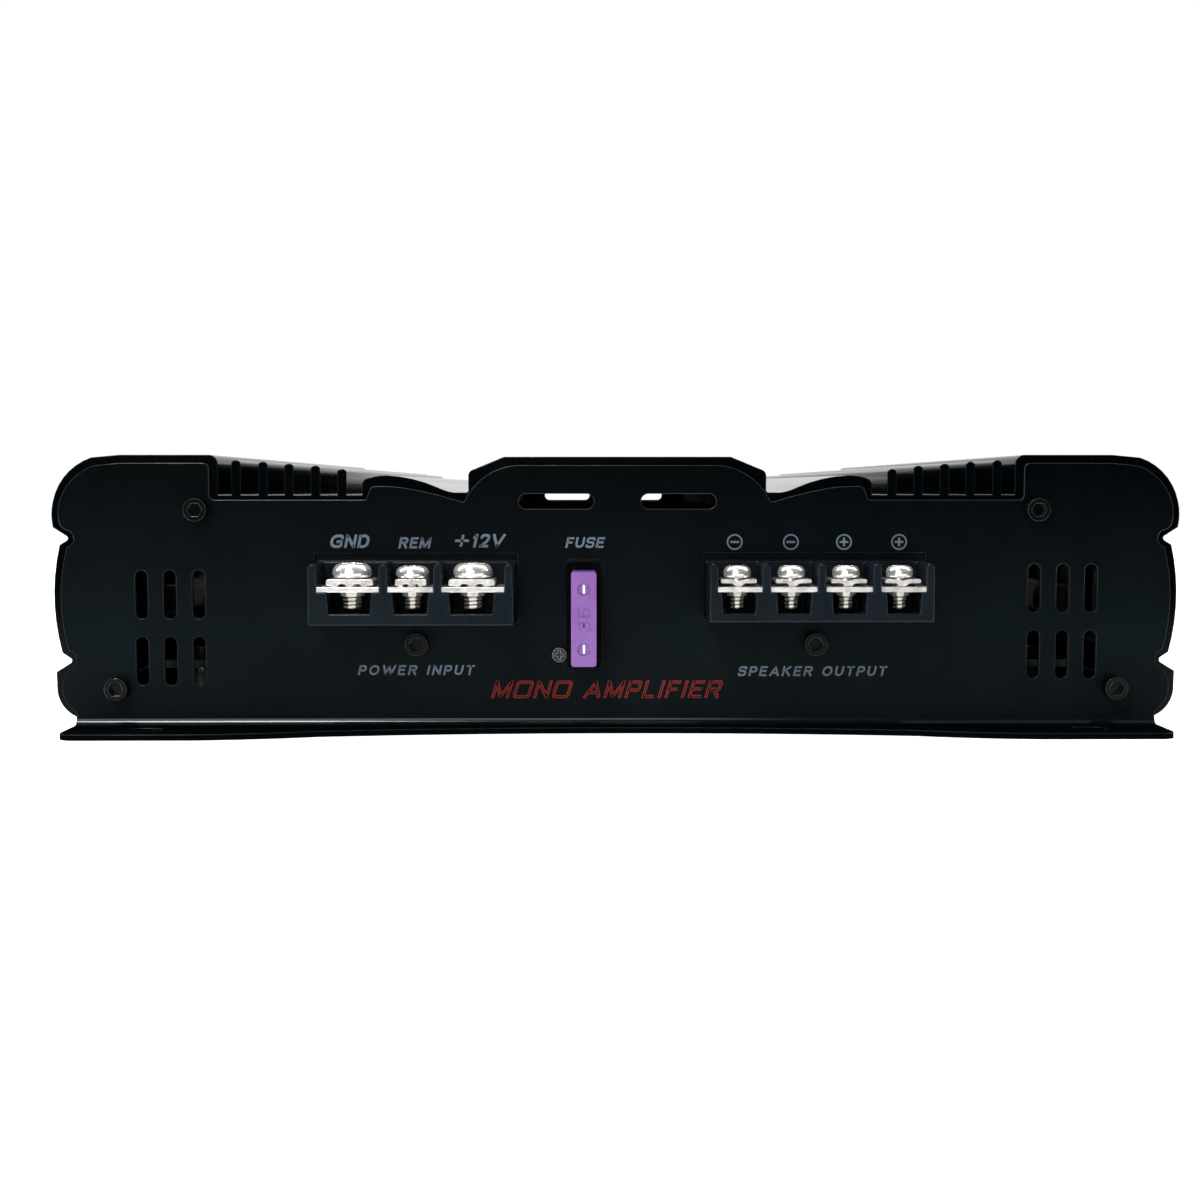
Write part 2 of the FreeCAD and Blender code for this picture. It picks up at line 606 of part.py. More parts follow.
# ---------------------------------------------------------------- circuit board
pins = [rod(1.1, 3.0, (x, y, "board_z - 0.5")) for x, y in STANDOFFS]
board = box(("board_half_x*2", "board_half_y*2 + 12", "board_thick"),
            ("-board_half_x", "-board_half_y - 6", "board_z"))
keep(cut(board, pins), "circuit_board")
group([cut(rod(3.0, "board_z - ext_bottom", (x, y, "ext_bottom")),
           [rod(1.1, 6.0, (x, y, "board_z - 6"))]) for x, y in STANDOFFS], "board_standoffs")
group([fuse([rod(2.4, 1.8, (x, y, "board_z + board_thick")),
             rod(1.05, 6.5, (x, y, "board_z - 4.5"))]) for x, y in STANDOFFS], "board_screws")


def ring(outer, inner, height, start):
    return cut(rod(outer, height, start), [rod(inner, height, start)])


CORES = {"power_transformer": (-34.0, -36.0, 21.0), "output_inductor": (38.0, -34.0, 18.0)}
for name, (x, y, outer) in CORES.items():
    keep(ring(outer - 3.1, 9.6, 11.8, (x, y, board_top + 2.7)), name + "_core")
    coil = cut(rod(outer, 17.0, (x, y, board_top + 0.1)),
               [rod(6.5, 17.0, (x, y, board_top + 0.1)),
                ring(outer - 3.0, 9.5, 12.0, (x, y, board_top + 2.6))])
    keep(coil, name + "_winding")

can_spots = [(x, y) for x in (-58.0, -38.0, -18.0) for y in (18.0, 40.0)]
group([rod(8.5, 27.0, (x, y, board_top)) for x, y in can_spots], "supply_capacitors")
group([box((11.0, 26.0, 18.0), (x, -4.0, board_top)) for x in (18.0, 34.0, 50.0)],
      "output_capacitors")

# Power transistors stand along both side walls on insulating strips, held by a bar.
TRANSISTOR_Y = [-77.0 + 22.0 * i for i in range(8)]
BAR_SCREW_Y = [-66.0, 0.0, 66.0]
WALL = 109.2
LEG_PITCH = 2.54
transistors, strips, bars, bar_screws = [], [], [], []


def low_x(side, inset, width):
    """The lower x of a piece whose inner face stands inset from a side wall."""
    return WALL - inset if side > 0 else inset - WALL - width


def transistor(side, y):
    """A flat package with three legs that turn down to the board."""
    solids = [box((4.4, 10.2, 15.5), (low_x(side, 4.8, 4.4), y - 5.1, 16.0))]
    for leg_y in (y - LEG_PITCH, y, y + LEG_PITCH):
        solids.append(box((9.6, 0.9, 0.6), (low_x(side, 14.4, 9.6), leg_y - 0.45, 17.5)))
        solids.append(box((0.6, 0.9, 4.5), (low_x(side, 14.4, 0.6), leg_y - 0.45, board_top)))
    return fuse(solids)


for side in (-1, 1):
    transistors += [transistor(side, y) for y in TRANSISTOR_Y]
    strips.append(box((0.4, 176.0, 18.0), (low_x(side, 0.4, 0.4), -88.0, 14.8)))
    holes = [rod(1.4, 6.0, (low_x(side, 9.0, 6.0), y, 24.0), "x") for y in BAR_SCREW_Y]
    bars.append(cut(box((2.2, 172.0, 7.0), (low_x(side, 7.0, 2.2), -86.0, 20.5)), holes))
    for y in BAR_SCREW_Y:
        bar_screws.append(fuse([rod(2.6, 1.8, (low_x(side, 8.8, 1.8), y, 24.0), "x"),
                                rod(1.3, 6.6, (low_x(side, 7.0, 6.6), y, 24.0), "x")]))
group(transistors, "power_transistors")
group(strips, "insulator_strips")
group(bars, "transistor_clamps")
group(bar_screws, "transistor_clamp_screws")

# ---------------------------------------------------------------- rear jacks and controls
shelf_z = 17.8
keep(box((72.0, 22.0, 1.6), (-42.0, 92.4, shelf_z)), "control_board")
group([box((24.0, 2.5, shelf_z - board_top), (x, 95.0, board_top)) for x in (-38.0, 2.0)],
      "board_connectors")
group([box((10.0, 6.4, 3.6), (x, 97.0, shelf_z + 1.6)) for x in (-36.0, -19.0, -2.0, 14.0)],
      "control_chips")

rca_box = box((36.0, 12.0, 28.0), (38.0, 105.5, 13.7))
keep(cut(rca_box, [rod(3.4, 13.0, (x, 107.5, z), "y") for x, z in JACKS]
         + [rod(1.0, 9.0, (RCA_SCREW[0], 109.0, RCA_SCREW[1]), "y")]), "rca_housing")


def shell_tube(x, z):
    outer = fuse([rod(d["jack_r"], "jack_proud + sheet", (x, "ext_len/2", z), "y"),
                  rod(5.0, 1.0, (x, face_y, z), "y")])
    return cut(outer, [rod(3.4, "jack_proud + sheet", (x, "ext_len/2", z), "y")])


group([shell_tube(x, z) for x, z in JACKS], "rca_shells")
for word, z_jack in (("white", 34.0), ("red", 20.0)):
    cores = [cut(rod(3.35, 17.6, (x, 108.0, z), "y"), [rod(1.65, 9.0, (x, 117.0, z), "y")])
             for x, z in JACKS if z == z_jack]
    group(cores, "rca_inserts_" + word)
jack_screw = fuse([rod(2.3, 1.4, (RCA_SCREW[0], face_y, RCA_SCREW[1]), "y"),
                   rod(0.95, 8.0, (RCA_SCREW[0], face_y - 8.0, RCA_SCREW[1]), "y")])
cross = [box((3.0, 0.8, 0.7), (RCA_SCREW[0] - 1.5, face_y + 0.7, RCA_SCREW[1] - 0.35)),
         box((0.7, 0.8, 3.0), (RCA_SCREW[0] - 0.35, face_y + 0.7, RCA_SCREW[1] - 1.5))]
small_screws.append(cut(jack_screw, cross))
group(small_screws, "small_panel_screws")

pots = []
for name, x in KNOBS.items():
    knob = fuse([rod("knob_r", "knob_proud + 4", (x, face_y - 4.0, KNOB_Z), "y"),
                 rod(1.5, 6.0, (x, face_y - 9.9, KNOB_Z), "y")])
    mark = box((0.9, 1.2, 2.6), (x - 0.45, face_y + d["knob_proud"] - 1.2, KNOB_Z + 0.6))
    keep(cut(knob, [mark]), name)
    pots.append(cut(box((10.0, 6.8, 11.0), (x - 5.0, face_y - 11.0, KNOB_Z - 5.6)),
                    [rod(1.5 + 0.05, 5.9, (x, face_y - 10.1, KNOB_Z), "y")]))
group(pots, "potentiometers")

sx, sz = SWITCH
switch_case = box((10.4, 7.0, 5.6), (sx - 5.2, half_len - 7.0, sz - 2.8))
switch_room = box((5.0, 4.0, 2.3), (sx - 2.5, half_len - 4.0, sz - 1.15))
switch_legs = box((8.0, 2.0, sz - 2.8 - board_top), (sx - 4.0, half_len - 7.0, board_top))
keep(fuse([cut(switch_case, [switch_room]), switch_legs]), "phase_switch_case")
keep(box((2.4, 6.2, 2.1), (sx - 2.4, half_len - 3.9, sz - 1.05)), "phase_switch_lever")

port_x, port_low = PORT["x"], PORT["low"]
port = box((2 * PORT["half"], 15.0, PORT["tall"]),
           (port_x - PORT["half"], face_y - 15.0, port_low))
keep(cut(port, [box((9.8, 11.0, 6.8), (port_x - 4.9, face_y - 11.0, port_low + 2.2)),
                box((4.2, 11.0, 2.6), (port_x - 2.1, face_y - 11.0, port_low + 9.0))]),
     "remote_port")
for word, (x, z) in zip(("power", "protect"), LEDS):
    lens = fuse([rod(1.5, 3.6, (x, half_len - 1.0, z), "y"),
                 rod(2.0, 3.0, (x, half_len - 3.4, z), "y"),
                 box((0.6, 6.0, 0.6), (x - 0.3, half_len - 8.8, z - 0.3)),
                 box((0.6, 0.6, z - board_top), (x - 0.3, half_len - 8.8, board_top))])
    keep(lens, word + "_indicator")

# ---------------------------------------------------------------- check and write
doc.recompute()
bad = [obj.Label for obj in doc.Objects if "Invalid" in obj.State or "Error" in obj.State]
if bad:
    raise RuntimeError("failed objects: " + ", ".join(bad))
for obj in nodes:
    if obj.Shape.isNull() or not obj.Shape.isValid():
        raise RuntimeError("bad shape: " + obj.Label)
for obj in nodes:
    obj.Shape.exportStep("parts/%s.step" % obj.Label)
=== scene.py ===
import json
import math

import bmesh
import bpy
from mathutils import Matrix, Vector

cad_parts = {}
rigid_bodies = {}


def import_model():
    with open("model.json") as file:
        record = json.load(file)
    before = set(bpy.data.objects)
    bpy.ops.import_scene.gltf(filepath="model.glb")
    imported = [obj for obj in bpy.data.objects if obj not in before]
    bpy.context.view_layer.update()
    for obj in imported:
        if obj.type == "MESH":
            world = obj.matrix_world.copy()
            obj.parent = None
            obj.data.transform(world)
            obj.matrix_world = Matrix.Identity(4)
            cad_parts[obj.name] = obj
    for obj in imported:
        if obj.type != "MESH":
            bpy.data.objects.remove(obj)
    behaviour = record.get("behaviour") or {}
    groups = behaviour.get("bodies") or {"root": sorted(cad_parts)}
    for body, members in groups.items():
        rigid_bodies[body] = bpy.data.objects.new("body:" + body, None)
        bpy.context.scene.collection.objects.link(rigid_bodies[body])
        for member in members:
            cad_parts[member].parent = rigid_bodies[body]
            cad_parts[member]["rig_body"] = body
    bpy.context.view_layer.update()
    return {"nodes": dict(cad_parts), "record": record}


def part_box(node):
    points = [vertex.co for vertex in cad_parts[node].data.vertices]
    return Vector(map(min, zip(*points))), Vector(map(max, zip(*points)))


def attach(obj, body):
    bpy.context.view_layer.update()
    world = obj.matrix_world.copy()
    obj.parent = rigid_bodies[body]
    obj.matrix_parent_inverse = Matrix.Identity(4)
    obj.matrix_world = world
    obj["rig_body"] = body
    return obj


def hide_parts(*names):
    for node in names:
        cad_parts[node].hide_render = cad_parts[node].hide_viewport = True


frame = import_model()
nodes = frame["nodes"]
scene = bpy.context.scene
MM = 0.001
FACE = -118.7          # the outer face of the front panel, in mm


# ------------------------------------------------------------------ camera
def make_camera():
    data = bpy.data.cameras.new("camera")
    data.sensor_width = 36.0
    data.lens = 49.88
    data.clip_start = 0.01
    data.clip_end = 50.0
    obj = bpy.data.objects.new("camera", data)
    scene.collection.objects.link(obj)
    obj.location = (-7.05 * MM, (FACE - 340.0) * MM, 50.0 * MM)
    obj.rotation_euler = (math.radians(90 - 3.9), 0, math.radians(-0.586))
    scene.camera = obj


make_camera()


# ------------------------------------------------------------------ materials
class Tree:
    """A short way to write a material's nodes."""

    def __init__(self, name):
        self.mat = bpy.data.materials.new(name)
        self.mat.use_nodes = True
        self.nt = self.mat.node_tree
        self.bsdf = self.nt.nodes["Principled BSDF"]
        self.coord = self.nt.nodes.new("ShaderNodeTexCoord")

    def node(self, kind, **values):
        """A new node with its properties, or its inputs' values, set by name."""
        made = self.nt.nodes.new(kind)
        for key, value in values.items():
            if hasattr(made, key):
                setattr(made, key, value)
            else:
                made.inputs[key].default_value = value
        return made

    def link(self, out, into):
        self.nt.links.new(out, into)

    def noise(self, scale, stretch=(1, 1, 1), detail=4.0, rough=0.55):
        mapping = self.node("ShaderNodeMapping")
        mapping.inputs["Scale"].default_value = stretch
        self.link(self.coord.outputs["Object"], mapping.inputs["Vector"])
        tex = self.node("ShaderNodeTexNoise", Scale=scale, Detail=detail, Roughness=rough)
        self.link(mapping.outputs[0], tex.inputs["Vector"])
        return tex.outputs["Fac"]

    def ramp(self, fac, low, high, at=(0.35, 0.65)):
        ramp = self.node("ShaderNodeValToRGB")
        for element, place, colour in zip(ramp.color_ramp.elements, at, (low, high)):
            element.position = place
            element.color = (*colour, 1) if isinstance(colour, tuple) else (colour,) * 3 + (1,)
        self.link(fac, ramp.inputs["Fac"])
        return ramp.outputs["Color"]

    def spread(self, fac, low, high):
        """Stretch the middle of a noise to a range of values."""
        spread = self.node("ShaderNodeMapRange")
        spread.inputs["From Min"].default_value = 0.3
        spread.inputs["From Max"].default_value = 0.7
        spread.inputs["To Min"].default_value = low
        spread.inputs["To Max"].default_value = high
        self.link(fac, spread.inputs["Value"])
        return spread.outputs["Result"]

    def bump(self, fac, strength, distance, after=None):
        bump = self.node("ShaderNodeBump", Strength=strength, Distance=distance)
        self.link(fac, bump.inputs["Height"])
        if after is not None:
            self.link(after, bump.inputs["Normal"])
        return bump.outputs["Normal"]

    def mix(self, fac, low, high, kind="FLOAT"):
        mix = self.node("ShaderNodeMix")
        mix.data_type = kind
        first = 2 if kind == "FLOAT" else 6
        self.link(fac, mix.inputs[0])
        for slot, value in ((first, low), (first + 1, high)):
            if isinstance(value, bpy.types.NodeSocket):
                self.link(value, mix.inputs[slot])
            else:
                mix.inputs[slot].default_value = value
        return mix.outputs[0 if kind == "FLOAT" else 2]

    def edges(self, radius):
        """Normals that round the edges off, and a patchy mask of the rounded edges, from 0 to 1,
        where a coat gets its painted highlight and a plastic its glossier edges.
        """
        bevel = self.node("ShaderNodeBevel", samples=6)
        bevel.inputs["Radius"].default_value = radius * MM
        flat = self.node("ShaderNodeNewGeometry")
        dot = self.node("ShaderNodeVectorMath", operation="DOT_PRODUCT")
        self.link(bevel.outputs["Normal"], dot.inputs[0])
        self.link(flat.outputs["True Normal"], dot.inputs[1])
        edge_highlight_mask = self.node("ShaderNodeMapRange")
        edge_highlight_mask.inputs["From Min"].default_value = 0.995
        edge_highlight_mask.inputs["From Max"].default_value = 0.80
        self.link(dot.outputs["Value"], edge_highlight_mask.inputs["Value"])
        patchy = self.spread(self.noise(70.0, (1, 1, 1), 5.0), 0.55, 1.0)
        return bevel.outputs["Normal"], self.times(edge_highlight_mask.outputs["Result"], patchy)

    def between(self, low, high):
        """1 on what lies between two heights in mm, 0 elsewhere."""
        split = self.node("ShaderNodeSeparateXYZ")
        self.link(self.coord.outputs["Object"], split.inputs[0])
        inside = self.node("ShaderNodeMath", operation="COMPARE")
        inside.inputs[1].default_value = (low + high) / 2 * MM
        inside.inputs[2].default_value = (high - low) / 2 * MM
        self.link(split.outputs["Z"], inside.inputs[0])
        return inside.outputs[0]

    def rise(self, low, high, least=0.0):
        """From least to 1 between two heights in mm."""
        split = self.node("ShaderNodeSeparateXYZ")
        self.link(self.coord.outputs["Object"], split.inputs[0])
        rise = self.node("ShaderNodeMapRange")
        rise.inputs["From Min"].default_value = low * MM
        rise.inputs["From Max"].default_value = high * MM
        rise.inputs["To Min"].default_value = least
        self.link(split.outputs["Z"], rise.inputs["Value"])
        return rise.outputs["Result"]

    def times(self, one, other):
        product = self.node("ShaderNodeMath", operation="MULTIPLY")
        self.link(one, product.inputs[0])
        self.link(other, product.inputs[1])
        return product.outputs[0]


def coated(name, low, high, rough, grain, bump, stretch=(1, 1, 1), specular=0.5,
           edge=0.0, edge_highlight=(0.02, 0.024, 0.028), edge_highlight_specular=0.8, panel=False):
    """A painted or anodised surface: fine grain, uneven sheen, soft blotches, and a painted
    highlight in a lighter colour on its rounded edges. On a panel the colour is darkened towards
    the top and on the flat foot as painted shade, the painted edge highlight is strongest at the
    top, and the bend is glossier."""
    t = Tree(name)
    colour = t.ramp(t.noise(45.0, (1, 0.35, 1), 5.0), low, high, (0.3, 0.72))
    sheen = t.spread(t.noise(160.0, stretch, 6.0), *rough)
    normal = None
    shine = specular
    if panel:
        bend = t.between(1.25, 2.45)
        sheen = t.mix(bend, sheen, 0.15)
        foot = t.between(-1.0, 1.25)
        shine = t.mix(bend, t.mix(foot, specular, 0.0), 0.42)
        # Painted shade: the panel's colour darkens towards the top, where less light from the floor
        # reaches it.
        colour = t.mix(t.rise(20.0, 53.0), colour, (0.0001, 0.0006, 0.0009, 1), "RGBA")
        # Painted shade: the flat foot is coloured darker, standing in for the dark panel it
        # reflects.
        colour = t.mix(foot, colour, (0.0009, 0.0017, 0.0021, 1), "RGBA")
    if edge:
        normal, edge_highlight_mask = t.edges(edge)
        if panel:
            # Painted highlight: on a panel it is strongest along the top edges, where the light
            # falls from above.
            edge_highlight_mask = t.times(edge_highlight_mask, t.rise(26.0, 46.0, 0.35))
        # Painted highlight: the rounded edges take a lighter edge colour, standing in for light
        # caught on them.
        colour = t.mix(edge_highlight_mask, colour, (*edge_highlight, 1), "RGBA")
        sheen = t.mix(edge_highlight_mask, sheen, rough[0] * 0.7)
        shine = t.mix(edge_highlight_mask, shine, edge_highlight_specular)
    if isinstance(shine, float):
        t.bsdf.inputs["Specular IOR Level"].default_value = shine
    else:
        t.link(shine, t.bsdf.inputs["Specular IOR Level"])
    t.link(colour, t.bsdf.inputs["Base Color"])
    t.link(sheen, t.bsdf.inputs["Roughness"])
    t.link(t.bump(t.noise(grain, stretch, 3.0), bump, 0.00006, normal), t.bsdf.inputs["Normal"])
    return t.mat


def metal(name, low, high, rough, grain=900.0, stretch=(1, 1, 1), bump=0.15, metallic=1.0):
    """A plated or bare metal: faint colour drift, streaks in the polish, fine scratches."""
    t = Tree(name)
    t.link(t.ramp(t.noise(220.0, (1, 1, 1), 5.0), low, high), t.bsdf.inputs["Base Color"])
    t.link(t.spread(t.noise(500.0, stretch, 4.0), *rough), t.bsdf.inputs["Roughness"])
    t.link(t.bump(t.noise(grain, stretch, 3.0), bump, 0.00005), t.bsdf.inputs["Normal"])
    t.bsdf.inputs["Metallic"].default_value = metallic
    return t.mat


def plastic(name, low, high, rough, clear=0.0, grain=1500.0, bump=0.12, edge=0.0, specular=0.5,
            edge_shine=0.6):
    """A moulded plastic, with its edges rounded off and glossier if edge is given."""
    t = Tree(name)
    t.link(t.ramp(t.noise(120.0, (1, 1, 1), 4.0), low, high), t.bsdf.inputs["Base Color"])
    t.link(t.spread(t.noise(300.0, (1, 1, 1), 4.0), *rough), t.bsdf.inputs["Roughness"])
    normal = None
    t.bsdf.inputs["Specular IOR Level"].default_value = specular
    if edge:
        normal, edge_highlight_mask = t.edges(edge)
        t.link(t.mix(edge_highlight_mask, specular, edge_shine), t.bsdf.inputs["Specular IOR Level"])
    t.link(t.bump(t.noise(grain, (1, 1, 1), 2.0), bump, 0.00005, normal),
           t.bsdf.inputs["Normal"])
    t.bsdf.inputs["Subsurface Weight"].default_value = clear
    t.bsdf.inputs["Subsurface Radius"].default_value = (0.002, 0.001, 0.003)
    t.bsdf.inputs["Subsurface Scale"].default_value = 1.0
    return t.mat


# In the coated materials below, the lighter edge colour is a painted highlight on their rounded
# edges.
M = {
    "heatsink_black": coated("heatsink_black", (0.0002, 0.0006, 0.0009), (0.0005, 0.0012, 0.0016),
                             (0.09, 0.13), 900.0, 0.02, (1, 0.02, 1), specular=0.05,
                             edge=0.25, edge_highlight=(0.012, 0.015, 0.017), edge_highlight_specular=0.8),
    "panel_black": coated("panel_black", (0.0011, 0.0031, 0.0040), (0.0024, 0.0050, 0.0063),
                          (0.30, 0.40), 2600.0, 0.14, specular=0.03, edge=0.25,
                          edge_highlight=(0.060, 0.070, 0.076), edge_highlight_specular=1.0, panel=True),
    "tunnel_black": coated("tunnel_black", (0.0002, 0.0005, 0.0007), (0.0004, 0.0009, 0.0012),
                           (0.6, 0.7), 900.0, 0.1, specular=0.02),
    "base_black": coated("base_black", (0.005, 0.006, 0.0065), (0.010, 0.011, 0.012),
                         (0.45, 0.6), 2000.0, 0.4, specular=0.3, edge=0.2),
    "black_screw": coated("black_screw", (0.0010, 0.0016, 0.0018), (0.0022, 0.0030, 0.0034),
                          (0.16, 0.24), 2600.0, 0.10, specular=0.06, edge=0.14,
                          edge_highlight=(0.09, 0.09, 0.085), edge_highlight_specular=1.0),
    "nickel": metal("nickel", (0.90, 0.88, 0.84), (0.96, 0.94, 0.90), (0.13, 0.22), bump=0.02,
                    metallic=0.80),
    # Painted shade: the shank and thread nickel is darker than the head's.
    "shaded_shank_nickel": metal("shaded_shank_nickel", (0.50, 0.46, 0.38), (0.62, 0.58, 0.50), (0.13, 0.22),
                          bump=0.02),
    "zinc_screw": coated("zinc_screw", (0.012, 0.012, 0.012), (0.03, 0.03, 0.03), (0.14, 0.22),
                         2600.0, 0.06, specular=0.15, edge=0.16, edge_highlight=(0.62, 0.62, 0.60),
                         edge_highlight_specular=1.0),
    "tin_plate": metal("tin_plate", (0.86, 0.86, 0.85), (0.95, 0.95, 0.94), (0.5, 0.6),
                       metallic=0.25),
    "aluminium": metal("aluminium", (0.62, 0.63, 0.64), (0.78, 0.78, 0.79), (0.3, 0.45),
                       700.0, (1, 0.05, 1)),
    "gold": metal("gold", (0.82, 0.56, 0.2), (0.95, 0.72, 0.34), (0.12, 0.24)),
    "copper_wire": metal("copper_wire", (0.5, 0.19, 0.07), (0.72, 0.3, 0.12), (0.22, 0.36)),
    "terminal_plastic": plastic("terminal_plastic", (0.0033, 0.0060, 0.0088),
                                (0.0052, 0.0084, 0.0118), (0.22, 0.30), edge=0.55,
                                specular=0.04, edge_shine=0.55),
    "black_plastic": plastic("black_plastic", (0.0008, 0.0010, 0.0012), (0.0016, 0.0020, 0.0023),
                             (0.30, 0.42), edge=0.25, specular=0.04, edge_shine=0.25),
    "fuse_purple": plastic("fuse_purple", (0.155, 0.066, 0.250), (0.190, 0.084, 0.295),
                           (0.24, 0.36), 0.2, edge=0.35, specular=0.35),
    # Painted shade: the board's green is darkened far below a solder mask's, for the dark inside
    # the closed case.
    "board_green": plastic("board_green", (0.0004, 0.007, 0.0026), (0.0008, 0.013, 0.005),
                           (0.25, 0.4), specular=0.2),
    "ferrite": plastic("ferrite", (0.04, 0.04, 0.045), (0.07, 0.07, 0.075), (0.6, 0.75),
                       0.0, 2500.0, 0.6),
    "grey_pad": plastic("grey_pad", (0.28, 0.29, 0.31), (0.36, 0.37, 0.39), (0.6, 0.75)),
    "red_plastic": plastic("red_plastic", (0.45, 0.01, 0.01), (0.6, 0.02, 0.015), (0.2, 0.34)),
    "white_plastic": plastic("white_plastic", (0.72, 0.72, 0.69), (0.84, 0.84, 0.8),
                             (0.25, 0.4)),
    "yellow_film": plastic("yellow_film", (0.6, 0.36, 0.03), (0.72, 0.46, 0.06), (0.25, 0.4)),
    "green_lens": plastic("green_lens", (0.02, 0.42, 0.06), (0.03, 0.55, 0.1), (0.12, 0.25),
                          0.2),
    "print_grey": plastic("print_grey", (0.085, 0.112, 0.145), (0.115, 0.147, 0.186),
                          (0.4, 0.55), 0.0, 3500.0, 0.3, specular=0.1),
    "print_red": plastic("print_red", (0.16, 0.012, 0.007), (0.21, 0.019, 0.011), (0.4, 0.55),
                         0.0, 3500.0, 0.3, specular=0.1),
    "fuse_mark": plastic("fuse_mark", (0.118, 0.044, 0.205), (0.140, 0.054, 0.235),
                         (0.24, 0.36), 0.2, specular=0.35),
}


# ------------------------------------------------------------------ CAD nodes with soft edges
def shade(bm):
    for face in bm.faces:
        face.smooth = True
    for side in bm.edges:
        if len(side.link_faces) == 2:
            side.smooth = side.calc_face_angle(0) < SHARP


def piece(name, mesh, material, body, slot=None):
    obj = bpy.data.objects.new(name, mesh)
    scene.collection.objects.link(obj)
    mesh.materials.clear()
    mesh.materials.append(M[material])
    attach(obj, body)
    slot or material
    return obj


def owner(node):
    return nodes[node]["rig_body"]


SHARP = math.radians(32.0)     # a steeper edge is kept crisp, or rounded over


def soften(node, material, width):
    """The CAD node again, welded, shaded smooth and with its edges rounded over."""
    bm = bmesh.new()
    bm.from_mesh(nodes[node].data)
    bmesh.ops.remove_doubles(bm, verts=bm.verts, dist=2e-6)
    shade(bm)
    mesh = bpy.data.meshes.new(node + "_soft")
    bm.to_mesh(mesh)
    bm.free()
    obj = piece(node + "_soft", mesh, material, owner(node))
    if width:
        bevel = obj.modifiers.new("bevel", "BEVEL")
        bevel.width = width * MM
        bevel.segments = 2
        bevel.limit_method = "ANGLE"
        bevel.angle_limit = SHARP
        bevel.use_clamp_overlap = False
        bevel.harden_normals = True
    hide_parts(node)
    return obj


def line_tunnel(obj):
    """Give the air tunnel behind the centre slots its own rougher black."""
    obj.data.materials.append(M["tunnel_black"])
    for face in obj.data.polygons:
        corners = [obj.data.vertices[i].co / MM for i in face.vertices]
        if all(abs(v.x) < 27.6 and 45.1 < v.z < 53.5 for v in corners):
            face.material_index = 1


def line_shank(obj, length=5.3):
    """The lower length of a terminal screw, in mm, takes a darker, warmer nickel than its head:
    painted shade on the shank under its contact plate.
    """
    obj.data.materials.append(M["shaded_shank_nickel"])
    heights = [v.co.z for v in obj.data.vertices]
    top = min(heights) + length * MM
    for face in obj.data.polygons:
        if max(heights[i] for i in face.vertices) < top:
            face.material_index = 1


SLOTS = {item["node"]: item["material_slot"] for item in frame["record"]["subparts"]}
# The width of each rounded edge in mm. Where it is 0, the material rounds the edges off.
SOFT = {
    "heatsink": 0, "front_panel": 0, "rear_panel": 0, "base_plate": 0,
    "power_terminal_housing": 0, "speaker_terminal_housing": 0, "fuse_holder": 0,
    "fuse_body": 0, "remote_port": 0, "rca_housing": 0,
    "panel_screws": 0, "terminal_block_screws": 0, "power_terminal_plates": 0.08,
    "speaker_terminal_plates": 0.08, "small_panel_screws": 0, "rca_shells": 0.15,
    "level_knob": 0.25, "low_pass_knob": 0.25, "subsonic_knob": 0.25, "bass_boost_knob": 0.25,
    "phase_switch_lever": 0.2,
}
for node in SLOTS:
    if "_clamp_" in node and not node.endswith("_screws"):
        SOFT[node] = 0.06
    elif "_screw_" in node:
        SOFT[node] = 0.08
for node, slot in SLOTS.items():
    if node in SOFT:
        softened = soften(node, slot, SOFT[node])
        if node == "heatsink":
            line_tunnel(softened)
        elif "_screw_" in node:
            line_shank(softened)
    else:
        nodes[node].data.materials.clear()
        nodes[node].data.materials.append(M[slot])


# ------------------------------------------------------------------ printed labels
def built(name, points, faces):
    """A mesh from points in mm."""
    mesh = bpy.data.meshes.new(name)
    mesh.from_pydata([tuple(c * MM for c in p) for p in points], [], faces)
    return mesh


